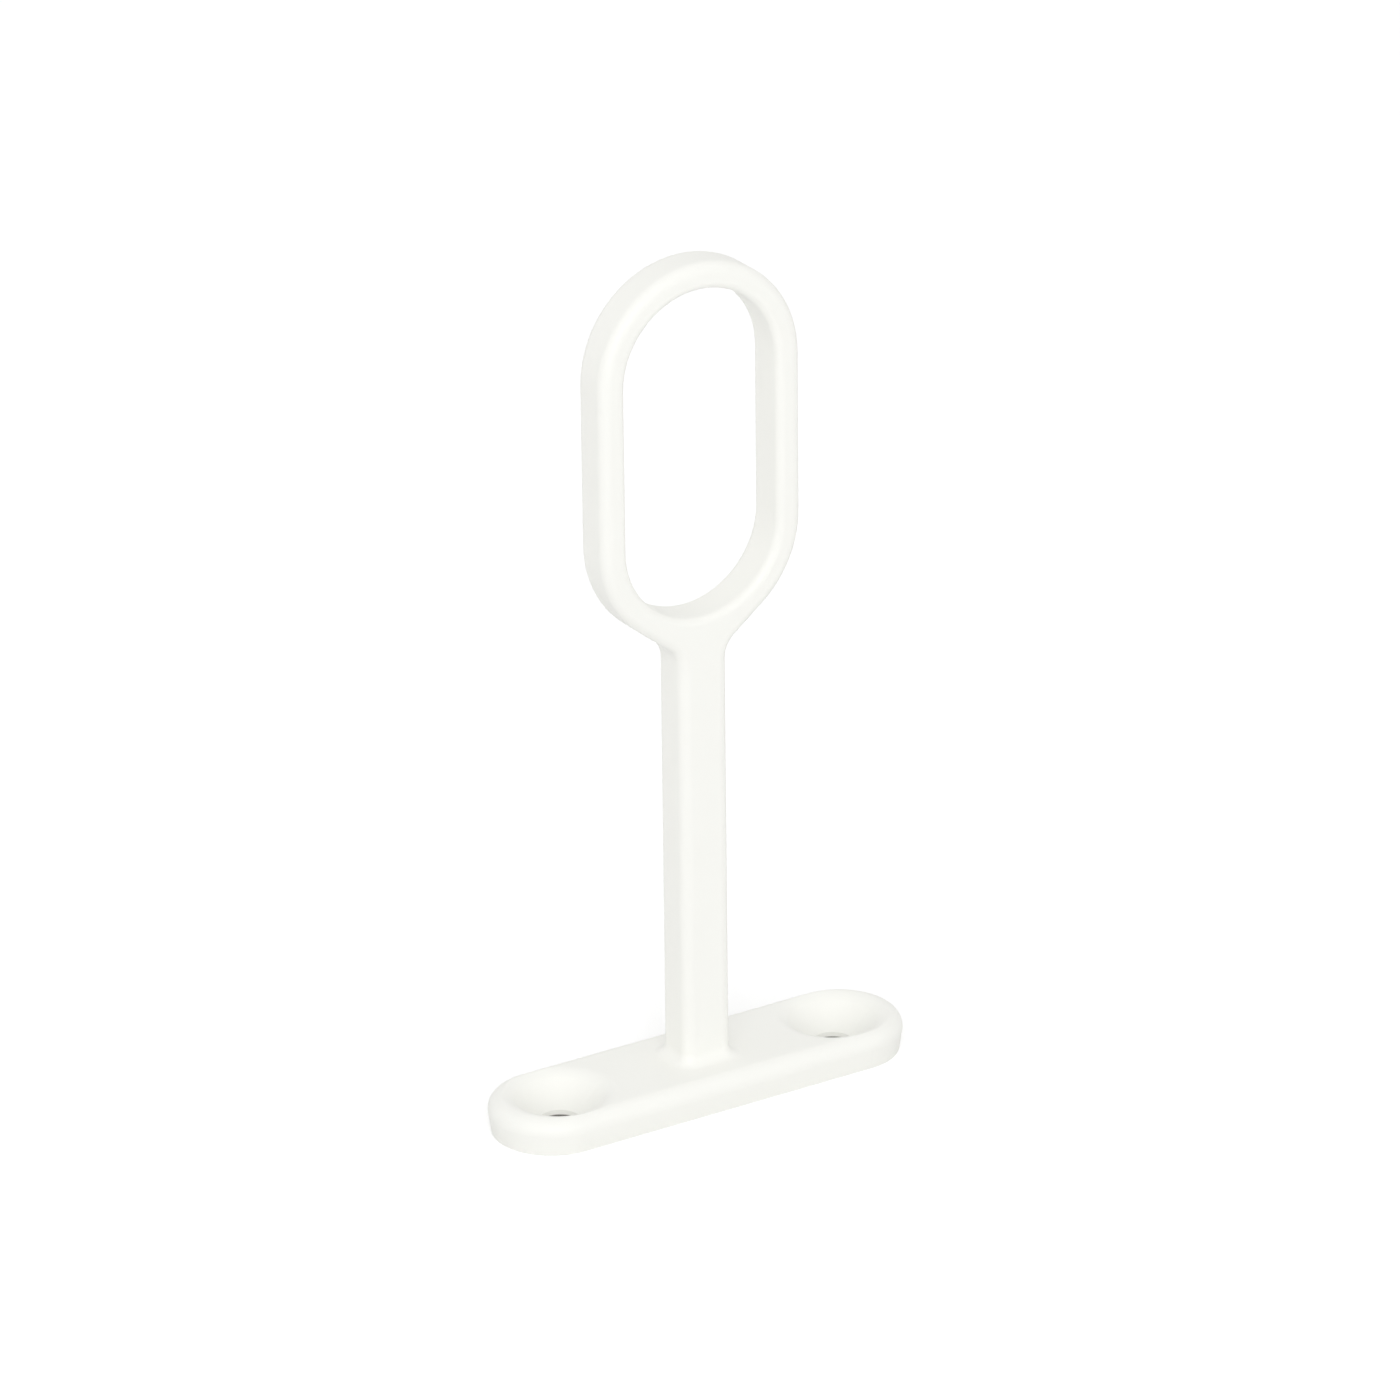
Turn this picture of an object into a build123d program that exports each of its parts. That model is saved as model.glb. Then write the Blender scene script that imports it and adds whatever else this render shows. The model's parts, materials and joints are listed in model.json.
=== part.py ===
from build123d import *
from math import cos, radians, sin, tan
import os

# Ceiling bracket for an oval wardrobe and curtain rail, cast in one piece: a closed oval ring on a
# stem, on a mounting plate with round ends and two countersunk screw holes.
# Z = 0 is the face that goes against the ceiling and +Z points from the ceiling to the rail.
# The plate is long along X, and the rail runs through the ring along Y. All sizes are millimetres.

# Oval rail that the ring holds
RAIL_HEIGHT = 30.0
RAIL_WIDTH = 15.0
RAIL_CLEARANCE = 0.25

# Ring round the rail, and the distance from the ceiling to the middle of the rail
RING_WALL = 2.45
RAIL_DROP = 61.9
OPENING_EDGE_RADIUS = 0.7

# Stem between the ring and the plate. The ring and the stem share one depth along the rail, and the
# neck's sides run down from the ring at a slope, in degrees from level.
ARM_DEPTH = 4.25
ARM_EDGE_RADIUS = 0.95
STEM_WIDTH = 4.85
NECK_SLOPE = 38.0
NECK_RADIUS = 2.4
FOOT_RADIUS = 1.1

# Mounting plate with round ends, a soft upper edge and sides that taper in towards the ceiling
PLATE_LENGTH = 42.0
PLATE_WIDTH = 11.6
PLATE_THICKNESS = 3.4
PLATE_TOP_RADIUS = 1.3
PLATE_TAPER_HEIGHT = 1.9
PLATE_TAPER_INSET = 0.3

# Countersunk screw holes, each set in from its end of the plate
SCREW_INSET = 6.5
SCREW_HOLE_DIAMETER = 3.7
COUNTERSINK_DIAMETER = 9.15
COUNTERSINK_ANGLE = 90.0
COUNTERSINK_RIM_RADIUS = 1.7

# How far a cutting shape reaches past the face that it cuts, and how closely a place is matched
CUT_PAST = 1.0
MATCH = 0.001

# Sizes that follow from the ones above
opening_height = RAIL_HEIGHT + 2 * RAIL_CLEARANCE
opening_width = RAIL_WIDTH + 2 * RAIL_CLEARANCE
ring_height = opening_height + 2 * RING_WALL
ring_width = opening_width + 2 * RING_WALL
ring_low_end = RAIL_DROP - ring_height / 2
round_end_middle = RAIL_DROP - (ring_height - ring_width) / 2
neck_top_half_width = ring_width / 2 * sin(radians(NECK_SLOPE))
neck_top = round_end_middle - ring_width / 2 * cos(radians(NECK_SLOPE))
neck_low_end = neck_top - (neck_top_half_width - STEM_WIDTH / 2) * tan(radians(NECK_SLOPE))
screw_offset = PLATE_LENGTH / 2 - SCREW_INSET


def upright_slot(height, width):
    """A slot with round ends in the X-Z plane, its long axis upright and its middle on the rail's."""
    return Plane.XZ * Pos(0, RAIL_DROP) * SlotOverall(height, width, rotation=90)


def neck():
    """The wedge under the ring, its sides tangent to the ring's round end and sloping to the stem."""
    corners = Polyline(
        (neck_top_half_width, neck_top),
        (STEM_WIDTH / 2, neck_low_end),
        (-STEM_WIDTH / 2, neck_low_end),
        (-neck_top_half_width, neck_top),
        close=True,
    )
    return Plane.XZ * make_face(corners)


def arm_outline():
    """The front view of the ring, neck and stem, with the neck's blends and the rail's opening."""
    # The stem starts inside the plate and ends inside the wall at the ring's low end
    stem_start = PLATE_THICKNESS / 2
    stem_end = ring_low_end + RING_WALL / 2
    stem = Plane.XZ * Pos(0, (stem_start + stem_end) / 2) * Rectangle(STEM_WIDTH, stem_end - stem_start)
    outline = upright_slot(ring_height, ring_width) + neck() + stem

    # The two corners where the neck's slopes meet the stem's sides
    stem_corners = outline.vertices().filter_by(lambda corner: abs(corner.Z - neck_low_end) < MATCH)
    outline = fillet(stem_corners, NECK_RADIUS)
    return outline - upright_slot(opening_height, opening_width)


def lies_on_opening(edge):
    """True for an edge that follows the rail's opening on the ring's front or back face."""
    middle = edge @ 0.5
    inside_width = abs(middle.X) < opening_width / 2 + MATCH
    inside_height = abs(middle.Z - RAIL_DROP) < opening_height / 2 + MATCH
    return inside_width and inside_height


def arm():
    """The ring and stem at their depth, with soft edges outside and round the opening."""
    body = extrude(arm_outline(), ARM_DEPTH / 2, both=True)
    face_edges = body.edges().filter_by(lambda edge: abs(abs((edge @ 0.5).Y) - ARM_DEPTH / 2) < MATCH)
    outer_edges = face_edges.filter_by(lambda edge: not lies_on_opening(edge))
    outer_edges = outer_edges.filter_by(lambda edge: (edge @ 0.5).Z > PLATE_THICKNESS)
    body = fillet(outer_edges, ARM_EDGE_RADIUS)

    face_edges = body.edges().filter_by(lambda edge: abs(abs((edge @ 0.5).Y) - ARM_DEPTH / 2) < MATCH)
    return fillet(face_edges.filter_by(lies_on_opening), OPENING_EDGE_RADIUS)


def plate():
    """The mounting plate with its round ends, its soft upper edge and its tapered sides."""
    body = extrude(SlotOverall(PLATE_LENGTH, PLATE_WIDTH), PLATE_THICKNESS)
    body = fillet(body.faces().sort_by(Axis.Z)[-1].edges(), PLATE_TOP_RADIUS)
    ceiling_face = body.faces().sort_by(Axis.Z)[0]
    return chamfer(ceiling_face.edges(), PLATE_TAPER_INSET, PLATE_TAPER_HEIGHT, reference=ceiling_face)


def screw_hole():
    """The shape cut out for one screw: a through hole, a conical countersink and its rounded rim."""
    hole_radius = SCREW_HOLE_DIAMETER / 2
    cone_slope = 90 - COUNTERSINK_ANGLE / 2
    cone_depth = (COUNTERSINK_DIAMETER / 2 - hole_radius) * tan(radians(cone_slope))
    rim_start = COUNTERSINK_DIAMETER / 2 + COUNTERSINK_RIM_RADIUS * tan(radians(cone_slope / 2))

    rim = JernArc((rim_start, PLATE_THICKNESS), (-1, 0), COUNTERSINK_RIM_RADIUS, cone_slope)
    cone = Line(rim @ 1, (hole_radius, PLATE_THICKNESS - cone_depth))
    rest = Polyline(
        cone @ 1,
        (hole_radius, -CUT_PAST),
        (0, -CUT_PAST),
        (0, PLATE_THICKNESS + CUT_PAST),
        (rim_start, PLATE_THICKNESS + CUT_PAST),
        rim @ 0,
    )
    profile = Plane.XZ * make_face(rim + cone + rest)
    return revolve(profile, Axis.Z)


def bracket():
    """The whole casting: the arm on its plate, the foot's blend and the screw holes."""
    body = plate() + arm()
    foot_edges = body.edges().filter_by(lambda edge: abs((edge @ 0.5).Z - PLATE_THICKNESS) < MATCH)
    foot_edges = foot_edges.filter_by(lambda edge: abs((edge @ 0.5).X) < STEM_WIDTH / 2 + MATCH)
    foot_edges = foot_edges.filter_by(lambda edge: abs((edge @ 0.5).Y) < ARM_DEPTH / 2 + MATCH)
    body = fillet(foot_edges, FOOT_RADIUS)
    for side in (-1, 1):
        body = body - Pos(side * screw_offset, 0, 0) * screw_hole()
    return body


os.makedirs("parts", exist_ok=True)
result = bracket()
result.label = "bracket"
export_step(result, "parts/bracket.step")
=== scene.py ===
"""Ceiling bracket for an oval rail: its finish, its studio and its camera.

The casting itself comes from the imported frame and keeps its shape. This script gives it the look of
die-cast zinc under an off-white satin powder coat, stands it on a pale floor in plain soft light, and
looks at it from the photograph's side. All lengths are metres unless a name says millimetres.
"""

import json
import logging
import math
from dataclasses import dataclass, field
from enum import Enum

import bpy
from bpy.types import Material, Node, NodeSocket, NodeTree
from mathutils import Matrix, Vector


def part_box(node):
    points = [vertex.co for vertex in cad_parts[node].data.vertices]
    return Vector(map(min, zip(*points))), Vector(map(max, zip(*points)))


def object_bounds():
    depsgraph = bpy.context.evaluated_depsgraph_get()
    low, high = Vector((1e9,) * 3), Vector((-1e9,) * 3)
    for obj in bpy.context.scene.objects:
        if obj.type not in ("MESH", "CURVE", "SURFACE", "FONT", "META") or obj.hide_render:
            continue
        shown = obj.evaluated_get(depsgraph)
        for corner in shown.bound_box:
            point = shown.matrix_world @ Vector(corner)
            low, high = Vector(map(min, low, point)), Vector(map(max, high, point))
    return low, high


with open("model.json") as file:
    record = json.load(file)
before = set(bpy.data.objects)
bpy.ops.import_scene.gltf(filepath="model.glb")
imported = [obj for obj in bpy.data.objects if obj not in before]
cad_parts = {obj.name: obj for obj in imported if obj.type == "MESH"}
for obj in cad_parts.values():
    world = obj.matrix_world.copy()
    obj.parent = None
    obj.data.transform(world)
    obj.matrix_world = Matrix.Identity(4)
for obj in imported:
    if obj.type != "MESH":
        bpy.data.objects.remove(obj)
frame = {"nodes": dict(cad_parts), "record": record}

bpy.context.view_layer.update()
CAD_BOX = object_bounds()

MM = 0.001

# The strength of light that shows as pure white
WHITE = 1.0

log = logging.getLogger("bracket_scene")


class Lamp(Enum):
    """The studio's lamps, each with the job it does."""

    KEY = "large soft lamp beside the camera"


def linear(hex_colour: str) -> tuple[float, float, float, float]:
    """Turns an sRGB hex colour into the linear colour that a shader socket takes.

    Args:
        hex_colour: Six hex digits with a leading hash sign.

    Returns:
        Red, green and blue in linear light, and an alpha of one.
    """
    shares = [int(hex_colour[start:start + 2], 16) / 255 for start in (1, 3, 5)]
    values = [share / 12.92 if share <= 0.04045 else ((share + 0.055) / 1.055) ** 2.4 for share in shares]
    return (values[0], values[1], values[2], 1.0)


def screw_holes() -> dict[str, float]:
    """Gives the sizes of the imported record's bolt pattern, in millimetres."""
    return next(mount["dims"] for mount in frame["record"]["mounts"] if mount["kind"] == "bolt_pattern")


def empty_material(name: str) -> Material:
    """Makes a node material with nothing in it yet.

    Args:
        name: What the material is called.

    Returns:
        The material, with an empty node tree.
    """
    material = bpy.data.materials.new(name)
    material.use_nodes = True
    material.node_tree.nodes.clear()
    return material


def add_node(
    tree: NodeTree,
    kind: str,
    settings: dict[str, object] | None = None,
    links: dict[str, NodeSocket] | None = None,
    values: dict[str, object] | None = None,
) -> Node:
    """Adds one node to a tree, with its settings, its socket values and what is linked into it.

    Args:
        tree: The node tree that takes the node.
        kind: Blender's type name of the node.
        settings: Properties of the node itself.
        links: Output sockets by the name of the input that they go to.
        values: Plain values by the name of the input.

    Returns:
        The new node.
    """
    node = tree.nodes.new(kind)
    for name, value in (settings or {}).items():
        setattr(node, name, value)
    for name, value in (values or {}).items():
        node.inputs[name].default_value = value
    for name, socket in (links or {}).items():
        tree.links.new(socket, node.inputs[name])
    return node


def add_maths(tree: NodeTree, operation: str, *terms: NodeSocket | float, clamp: bool = False) -> NodeSocket:
    """Adds one step of arithmetic.

    Args:
        tree: The node tree that takes the node.
        operation: Blender's name of the operation.
        terms: Sockets or plain numbers, in the operation's order.
        clamp: Whether the result is kept between 0 and 1.

    Returns:
        The step's result.
    """
    step = add_node(tree, "ShaderNodeMath", {"operation": operation, "use_clamp": clamp})
    for entry, term in zip(step.inputs, terms):
        if isinstance(term, NodeSocket):
            tree.links.new(term, entry)
        else:
            entry.default_value = term
    return step.outputs["Value"]


def add_slope(
    tree: NodeTree, value: NodeSocket, reach: tuple[float, float], result: tuple[float, float]
) -> NodeSocket:
    """Adds a straight slope from one result to another, level before its start and after its end.

    Args:
        tree: The node tree that takes the node.
        value: What the slope follows.
        reach: The values at which the slope starts and ends.
        result: What comes out at its start and at its end.

    Returns:
        The slope's result.
    """
    slope = add_node(
        tree,
        "ShaderNodeMapRange",
        links={"Value": value},
        values={"From Min": reach[0], "From Max": reach[1], "To Min": result[0], "To Max": result[1]},
    )
    return slope.outputs["Result"]


def add_distance(tree: NodeTree, place: NodeSocket, offset: float, from_line: bool = False) -> NodeSocket:
    """Adds the distance, seen from above, from the nearer of two points on the X axis.

    Args:
        tree: The node tree that takes the nodes.
        place: The coordinates, in metres.
        offset: How far the points lie from the middle, one on each side.
        from_line: Whether the line between the points counts as well.

    Returns:
        The distance, in metres.
    """
    along = add_node(tree, "ShaderNodeSeparateXYZ", links={"Vector": place})
    from_middle = add_maths(tree, "ABSOLUTE", along.outputs["X"])
    past_point = add_maths(tree, "SUBTRACT", from_middle, offset, clamp=from_line)
    flat = add_node(tree, "ShaderNodeCombineXYZ", links={"X": past_point, "Y": along.outputs["Y"]})
    from_axis = {"Vector": flat.outputs["Vector"]}
    return add_node(tree, "ShaderNodeVectorMath", {"operation": "LENGTH"}, from_axis).outputs["Value"]


def add_pattern(
    tree: NodeTree, place: NodeSocket, size_mm: float, layers: float, layer_strength: float = 0.5
) -> NodeSocket:
    """Adds a cloudy pattern whose blotches have a real size.

    Args:
        tree: The node tree that takes the node.
        place: The coordinates that the pattern follows, in metres.
        size_mm: The distance from one blotch to the next.
        layers: How many finer layers the pattern has.
        layer_strength: How strong each finer layer is beside the one before it.

    Returns:
        The pattern's value, around one half.
    """
    noise = add_node(
        tree,
        "ShaderNodeTexNoise",
        links={"Vector": place},
        values={"Scale": 1 / (size_mm * MM), "Detail": layers, "Roughness": layer_strength},
    )
    return noise.outputs["Fac"]


def add_relief(
    tree: NodeTree,
    pattern: NodeSocket,
    height_mm: float,
    strength: float = 1.0,
    under: NodeSocket | None = None,
) -> NodeSocket:
    """Adds a relief that follows a pattern.

    Args:
        tree: The node tree that takes the node.
        pattern: The pattern, low at 0 and high at 1.
        height_mm: The height from its lowest to its highest point.
        strength: The share of the relief that shows.
        under: The relief that this one lies on, if there is one.

    Returns:
        The relief's directions, for a shader's Normal.
    """
    links = {"Height": pattern}
    if under is not None:
        links["Normal"] = under
    values = {"Strength": strength, "Distance": height_mm * MM}
    return add_node(tree, "ShaderNodeBump", links=links, values=values).outputs["Normal"]


@dataclass(frozen=True)
class PowderCoat:
    """Satin powder coat on die-cast zinc, sprayed dry and baked.

    The baked powder flows into a closed off-white skin. It gives the eye a soft, even sheen with a faint
    orange peel, a little fuller and duller in places. The low ends of the screw holes carry painted shade in
    dull grey.
    """

    name: str = "satin_powder_coat_on_die_cast_zinc"
    colour: str = "#F8F8F3"
    fuller_colour: str = "#F6F6F1"
    ior: float = 1.5
    smooth_roughness: float = 0.44
    dull_roughness: float = 0.54
    cloud_mm: float = 14.0
    cloud_layers: float = 2.0
    # The values of the clouds between which smooth turns into dull
    cloud_reach: tuple[float, float] = (0.3, 0.7)
    orange_peel_mm: float = 1.6
    orange_peel_height_mm: float = 0.006
    # Real powder grain is near 0.05 mm and too fine to show, so it is drawn at 0.3 mm
    grain_mm: float = 0.3
    grain_height_mm: float = 0.0008
    relief_layers: float = 1.0
    # Painted shade: the low ends of the screw holes' walls are coloured dull dark grey for the deep shade
    # that falls there
    painted_hole_shade_colour: str = "#7D7B77"
    painted_shade_height_mm: float = 0.22
    painted_shade_past_wall_mm: float = 0.15
    painted_shade_edge_mm: float = 0.1

    def build(self) -> Material:
        """Makes the coat's material.

        Returns:
            A material with colour, roughness and relief from patterns of real size.
        """
        material = empty_material(self.name)
        tree = material.node_tree
        place = add_node(tree, "ShaderNodeTexCoord").outputs["Object"]
        clouds = add_pattern(tree, place, self.cloud_mm, self.cloud_layers)
        coat = self.blend(tree, clouds, linear(self.colour), linear(self.fuller_colour))
        # Painted shade: dull dark grey on the low ends of the screw holes, where deep shade falls
        colour = self.blend(tree, self.share_outside_painted_shade(tree, place), linear(self.painted_hole_shade_colour), coat)
        roughness = add_slope(
            tree, clouds, self.cloud_reach, (self.smooth_roughness, self.dull_roughness)
        )

        peel = add_pattern(tree, place, self.orange_peel_mm, self.relief_layers)
        grain = add_pattern(tree, place, self.grain_mm, self.relief_layers)
        relief = add_relief(tree, peel, self.orange_peel_height_mm)
        relief = add_relief(tree, grain, self.grain_height_mm, under=relief)
        shader = add_node(
            tree,
            "ShaderNodeBsdfPrincipled",
            links={"Base Color": colour, "Roughness": roughness, "Normal": relief},
            values={"IOR": self.ior, "Metallic": 0.0},
        )
        add_node(tree, "ShaderNodeOutputMaterial", links={"Surface": shader.outputs["BSDF"]})
        return material

    @staticmethod
    def blend(
        tree: NodeTree,
        share: NodeSocket,
        first: tuple[float, float, float, float],
        second: tuple[float, float, float, float] | NodeSocket,
    ) -> NodeSocket:
        """Adds a mix of two colours.

        Args:
            tree: The material's node tree.
            share: How much of the second colour there is, from 0 to 1.
            first: The first colour, in linear light.
            second: The second colour, plain or from another node.

        Returns:
            The mixed colour.
        """
        links = {"Factor": share}
        values = {"A": first}
        if isinstance(second, NodeSocket):
            links["B"] = second
        else:
            values["B"] = second
        return add_node(tree, "ShaderNodeMix", {"data_type": "RGBA"}, links, values).outputs["Result"]

    def share_outside_painted_shade(self, tree: NodeTree, place: NodeSocket) -> NodeSocket:
        """Adds where the painted shade lies: on the low ends of the screw holes, and nowhere else.

        Args:
            tree: The material's node tree.
            place: The casting's coordinates, in metres.

        Returns:
            The share of plain coat: 0 where the painted shade lies, on the low ends of the holes' walls, and
                1 everywhere else.
        """
        holes = screw_holes()
        from_hole = add_distance(tree, place, holes["spacing_x_mm"] / 2 * MM)
        height = add_node(tree, "ShaderNodeSeparateXYZ", links={"Vector": place}).outputs["Z"]
        outside_holes = self.fade(tree, from_hole, holes["hole_r_mm"] + self.painted_shade_past_wall_mm)
        above_painted_shade = self.fade(tree, height, self.painted_shade_height_mm)
        return add_maths(tree, "MAXIMUM", outside_holes, above_painted_shade)

    def fade(self, tree: NodeTree, length: NodeSocket, limit_mm: float) -> NodeSocket:
        """Adds a soft step from 0 to 1 at a limit, as wide as the painted shade's edge.

        Args:
            tree: The material's node tree.
            length: The length that is compared, in metres.
            limit_mm: The middle of the step.

        Returns:
            0 below the limit, 1 above it, and a straight slope across the coat's edge.
        """
        start = (limit_mm - self.painted_shade_edge_mm / 2) * MM
        end = (limit_mm + self.painted_shade_edge_mm / 2) * MM
        return add_slope(tree, length, (start, end), (0.0, 1.0))


@dataclass(frozen=True)
class PaleFloor:
    """Matte white paper, which shows pure white where no shadow falls."""

    name: str = "matte_white_paper"
    colour: str = "#F4F4F4"
    roughness: float = 0.9
    fibre_mm: float = 0.8
    fibre_height_mm: float = 0.01
    fibre_layers: float = 2.0
    fibre_strength: float = 0.2
    # The brightening for the camera, and how far in from the plate's outline it has faded out
    top_up: float = 0.18
    edge_mm: float = 0.6

    def build(self) -> Material:
        """Makes the floor's material.

        Returns:
            A matte material that is brightened for the camera alone, so that it lights nothing more.
        """
        material = empty_material(self.name)
        tree = material.node_tree
        place = add_node(tree, "ShaderNodeTexCoord").outputs["Object"]
        fibres = add_pattern(tree, place, self.fibre_mm, self.fibre_layers)
        relief = add_relief(tree, fibres, self.fibre_height_mm, self.fibre_strength)
        paper = add_node(
            tree,
            "ShaderNodeBsdfDiffuse",
            links={"Normal": relief},
            values={"Color": linear(self.colour), "Roughness": self.roughness},
        )
        seen = add_node(tree, "ShaderNodeLightPath").outputs["Is Camera Ray"]
        strength = add_maths(tree, "MULTIPLY", seen, self.open_floor(tree, place))
        glow = add_node(tree, "ShaderNodeEmission", links={"Strength": strength})
        both = add_node(tree, "ShaderNodeAddShader")
        tree.links.new(paper.outputs["BSDF"], both.inputs[0])
        tree.links.new(glow.outputs["Emission"], both.inputs[1])
        add_node(tree, "ShaderNodeOutputMaterial", links={"Surface": both.outputs["Shader"]})
        return material

    def open_floor(self, tree: NodeTree, place: NodeSocket) -> NodeSocket:
        """Adds the brightening, which leaves out the floor beneath the plate and its screw holes.

        Args:
            tree: The material's node tree.
            place: The floor's coordinates, in metres.

        Returns:
            The strength: none under the plate and the full top-up everywhere else.
        """
        low, high = CAD_BOX
        half_width = (high[1] - low[1]) / 2
        half_straight = (high[0] - low[0]) / 2 - half_width
        distance = add_distance(tree, place, half_straight, from_line=True)
        return add_slope(tree, distance, (half_width - self.edge_mm * MM, half_width), (0.0, self.top_up))


@dataclass
class Casting:
    """The bracket's one casting, with ring, stem and plate in one piece."""

    node: str = "bracket"
    slot: str = "powder_coated_casting"
    finish: PowderCoat = field(default_factory=PowderCoat)

    def dress(self) -> None:
        """Gives the casting its coat in every material slot."""
        casting = frame["nodes"][self.node]
        coat = self.finish.build()
        for material_slot in casting.material_slots:
            material_slot.material = coat
        low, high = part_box(self.node)
        size = [round((top - bottom) / MM, 1) for bottom, top in zip(low, high)]
        log.info("casting %s, %s mm, in %s", self.node, size, coat.name)


@dataclass
class Studio:
    """Floor, lamps and surrounding light."""

    floor_width: float = 4.0
    floor_finish: PaleFloor = field(default_factory=PaleFloor)
    horizon_light: float = 0.77
    zenith_light: float = 0.84
    lamp_size: dict[Lamp, float] = field(default_factory=lambda: {Lamp.KEY: 0.7})
    lamp_power: dict[Lamp, float] = field(default_factory=lambda: {Lamp.KEY: 2.85})
    lamp_place: dict[Lamp, tuple[float, float, float]] = field(
        default_factory=lambda: {Lamp.KEY: (-0.427, -0.751, 0.436)}
    )
    lamp_aim: tuple[float, float, float] = (0.0, 0.0, 0.04)

    def build(self) -> None:
        """Makes the whole studio."""
        self.lay_floor()
        self.surround()
        for lamp in Lamp:
            self.hang(lamp)

    def lay_floor(self) -> None:
        """Lays the pale floor that the plate stands on."""
        bpy.ops.object.select_all(action="DESELECT")
        bpy.ops.mesh.primitive_plane_add(size=self.floor_width, location=(0.0, 0.0, 0.0))
        floor = bpy.context.active_object
        floor.name = "floor"
        floor.data.materials.append(self.floor_finish.build())
        log.info("floor, %.1f m wide", self.floor_width)

    def surround(self) -> None:
        """Sets even light from all round, and pure white where the camera or a reflection sees it."""
        world = bpy.data.worlds.new("even_surround")
        bpy.context.scene.world = world
        world.use_nodes = True
        tree = world.node_tree
        tree.nodes.clear()
        direction = add_node(tree, "ShaderNodeTexCoord").outputs["Generated"]
        height = add_node(tree, "ShaderNodeSeparateXYZ", links={"Vector": direction}).outputs["Z"]
        light = add_slope(tree, height, (0.0, 1.0), (self.horizon_light, self.zenith_light))
        ray = add_node(tree, "ShaderNodeLightPath")
        seen = add_maths(tree, "MAXIMUM", ray.outputs["Is Camera Ray"], ray.outputs["Is Glossy Ray"])
        strength = add_node(
            tree,
            "ShaderNodeMapRange",
            links={"Value": seen, "To Min": light},
            values={"To Max": WHITE},
        )
        background = add_node(
            tree,
            "ShaderNodeBackground",
            links={"Strength": strength.outputs["Result"]},
            values={"Color": (1.0, 1.0, 1.0, 1.0)},
        )
        add_node(tree, "ShaderNodeOutputWorld", links={"Surface": background.outputs["Background"]})
        log.info("surround, %.2f at the horizon and %.2f overhead", self.horizon_light, self.zenith_light)

    def hang(self, lamp: Lamp) -> None:
        """Hangs one square lamp and turns it to the bracket.

        Args:
            lamp: Which lamp it is.
        """
        data = bpy.data.lights.new(lamp.name.lower(), "AREA")
        data.shape = "SQUARE"
        data.size = self.lamp_size[lamp]
        data.energy = self.lamp_power[lamp]
        light = bpy.data.objects.new(lamp.name.lower(), data)
        bpy.context.scene.collection.objects.link(light)
        place = Vector(self.lamp_place[lamp])
        light.location = place
        light.rotation_euler = (Vector(self.lamp_aim) - place).to_track_quat("-Z", "Y").to_euler()
        log.info("lamp %s, %s", lamp.name.lower(), lamp.value)


@dataclass(frozen=True)
class PhotoCamera:
    """The camera that took the photograph, as its outlines give it."""

    azimuth: float = 31.84
    elevation: float = 23.60
    roll: float = -0.61
    distance: float = 0.7
    lens_mm: float = 204.0
    sensor_mm: float = 36.0
    nearest: float = 0.01
    farthest: float = 20.0
    aim_right: float = 0.0006
    aim_height: float = 0.03800

    def build(self) -> None:
        """Puts the camera in place and makes it the scene's own."""
        data = bpy.data.cameras.new("photo_camera")
        data.lens = self.lens_mm
        data.sensor_width = self.sensor_mm
        data.clip_start = self.nearest
        data.clip_end = self.farthest
        camera = bpy.data.objects.new("photo_camera", data)
        bpy.context.scene.collection.objects.link(camera)

        turn, tilt, roll = (math.radians(angle) for angle in (self.azimuth, self.elevation, self.roll))
        back = Vector((-math.sin(turn) * math.cos(tilt), -math.cos(turn) * math.cos(tilt), math.sin(tilt)))
        level_right = Vector((math.cos(turn), -math.sin(turn), 0.0))
        level_up = back.cross(level_right)
        right = math.cos(roll) * level_right + math.sin(roll) * level_up
        up = back.cross(right)
        aim = Vector((0.0, 0.0, self.aim_height)) + self.aim_right * level_right
        turned = Matrix((right, up, back)).transposed().to_4x4()
        camera.matrix_world = Matrix.Translation(aim + self.distance * back) @ turned
        bpy.context.scene.camera = camera
        log.info("camera at %s", [round(value, 3) for value in camera.matrix_world.translation])


def write_sizes() -> None:
    """Updates the view layer."""
    bpy.context.view_layer.update()


def main() -> None:
    """Builds the scene in order: camera, casting, studio, then updates the view layer."""
    logging.basicConfig(level=logging.INFO, format="%(name)s: %(message)s")
    bpy.context.scene.view_settings.view_transform = "Standard"
    PhotoCamera().build()
    Casting().dress()
    Studio().build()
    write_sizes()


if __name__ == "__main__":
    main()
